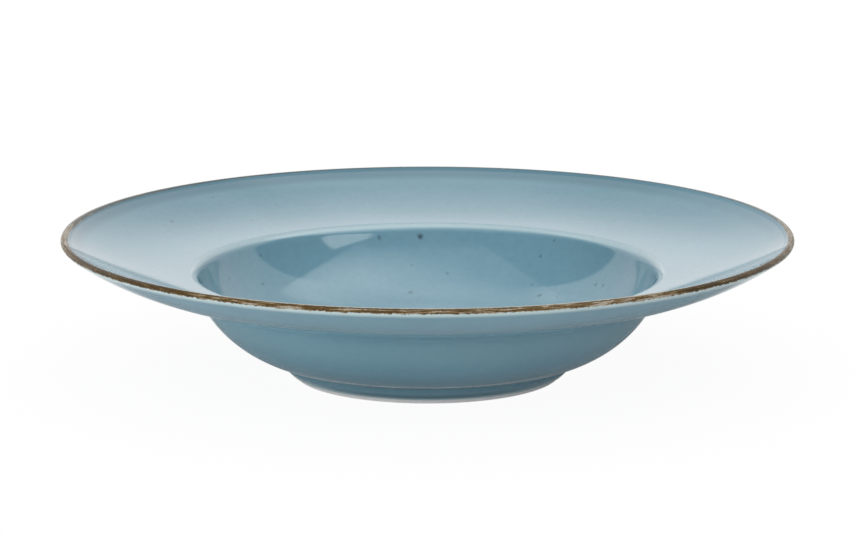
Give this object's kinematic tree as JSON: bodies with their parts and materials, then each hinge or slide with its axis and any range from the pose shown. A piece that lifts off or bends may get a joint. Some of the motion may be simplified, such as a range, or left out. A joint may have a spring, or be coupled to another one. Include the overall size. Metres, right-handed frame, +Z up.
{
  "type": "pasta plate",
  "caption": "Round deep pasta plate of glazed porcelain with a wide upswept rim, a deep curved well, a brown edge band and a low foot ring.",
  "frame": {"origin": "centre of the plane that the foot ring's bare bearing edge stands on", "axes": "+Z up along the plate's axis; X and Y lie in the table plane, and every direction round the axis is alike"},
  "size_m": [0.3, 0.3, 0.0595],
  "materials": {
    "porcelain": "bare fired porcelain, matt",
    "blue_glaze": "glossy grey-blue glaze with sparse dark specks",
    "brown_edge": "worn brown oxide band, satin"
  },
  "bodies": {
    "root": {"porcelain_body": "porcelain", "face_glaze": "blue_glaze", "back_glaze": "blue_glaze", "base_glaze": "blue_glaze", "rim_band": "brown_edge"}
  },
  "joints": []
}
